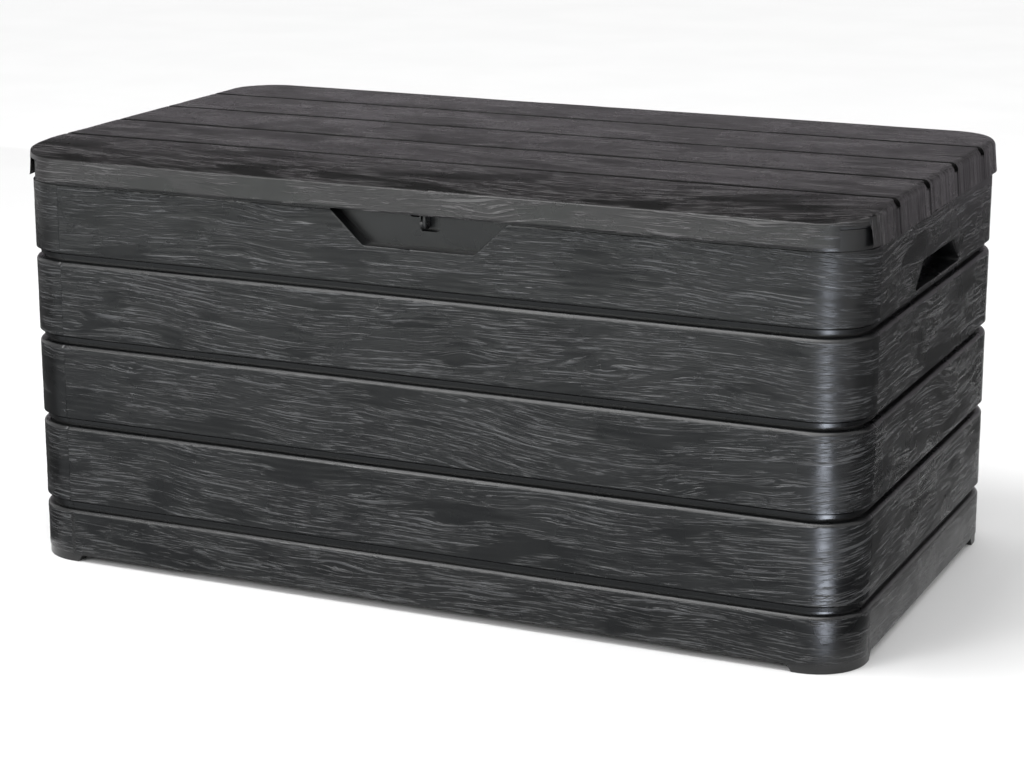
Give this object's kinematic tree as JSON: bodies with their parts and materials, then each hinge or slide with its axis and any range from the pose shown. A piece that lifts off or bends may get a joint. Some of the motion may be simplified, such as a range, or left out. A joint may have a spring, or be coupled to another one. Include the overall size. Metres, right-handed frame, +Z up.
{
  "type": "deck storage box",
  "caption": "Lidded outdoor storage box with plank-effect walls, a hinged lid on gas struts, hand recesses and a padlock pocket.",
  "frame": {"origin": "centre of the closed box's whole outline, at ground level", "axes": "+X along the length to the right seen from the front, -Y the front with the finger pocket, +Z up"},
  "size_m": [1.212, 0.689, 0.581],
  "materials": {
    "wall_planks": "embossed wood grain, satin",
    "lid_planks": "embossed wood grain, satin",
    "base": "embossed wood grain, satin",
    "liner": "fine moulded grain",
    "black_fittings": "fine moulded grain",
    "steel": "zinc plated",
    "strut_tube": "black enamel",
    "strut_rod": "hard chrome"
  },
  "bodies": {
    "box": {"base_tray": "base", "front_panel": "wall_planks", "right_end_panel": "wall_planks", "back_panel": "wall_planks", "left_end_panel": "wall_planks", "seam_screws": "steel", "padlock_lug_body": "black_fittings", "hinge_base_left": "black_fittings", "hinge_base_centre": "black_fittings", "hinge_base_right": "black_fittings", "hinge_pin_left": "steel", "hinge_pin_centre": "steel", "hinge_pin_right": "steel", "hinge_base_screws": "steel", "strut_foot_left": "black_fittings", "strut_foot_right": "black_fittings", "strut_foot_screws": "steel"},
    "lid": {"lid_shell": "lid_planks", "lid_liner": "liner", "liner_screws": "steel", "padlock_lug_lid": "black_fittings", "hinge_leaf_left": "black_fittings", "hinge_leaf_centre": "black_fittings", "hinge_leaf_right": "black_fittings", "hinge_leaf_screws": "steel", "strut_head_left": "black_fittings", "strut_head_right": "black_fittings", "strut_head_screws": "steel"},
    "strut_left": {"strut_tube_left": "strut_tube"},
    "rod_left": {"strut_rod_left": "strut_rod"},
    "strut_right": {"strut_tube_right": "strut_tube"},
    "rod_right": {"strut_rod_right": "strut_rod"}
  },
  "joints": [
    {"name": "lid_hinge", "type": "hinge", "parent": "box", "child": "lid", "pos_m": [0, 0.3375, 0.537], "axis": [-1, 0, 0], "range_deg": [0, 85]},
    {"name": "strut_turn_left", "type": "hinge", "parent": "box", "child": "strut_left", "pos_m": [-0.56, 0.0315, 0.256], "axis": [-1, 0, 0], "range_deg": [0, 3.04]},
    {"name": "strut_stroke_left", "type": "slide", "parent": "strut_left", "child": "rod_left", "axis": [0, 0.6044, 0.7967], "range_m": [0, 0.11612]},
    {"name": "strut_turn_right", "type": "hinge", "parent": "box", "child": "strut_right", "pos_m": [0.56, 0.0315, 0.256], "axis": [-1, 0, 0], "range_deg": [0, 3.04]},
    {"name": "strut_stroke_right", "type": "slide", "parent": "strut_right", "child": "rod_right", "axis": [0, 0.6044, 0.7967], "range_m": [0, 0.11612]}
  ],
  "couplings": [
    {"joint": "strut_turn_left", "follows": "lid_hinge", "ratio": 0.032191},
    {"joint": "strut_stroke_left", "follows": "lid_hinge", "m_per_rad": 0.0776},
    {"joint": "strut_turn_right", "follows": "lid_hinge", "ratio": 0.032191},
    {"joint": "strut_stroke_right", "follows": "lid_hinge", "m_per_rad": 0.0776}
  ]
}
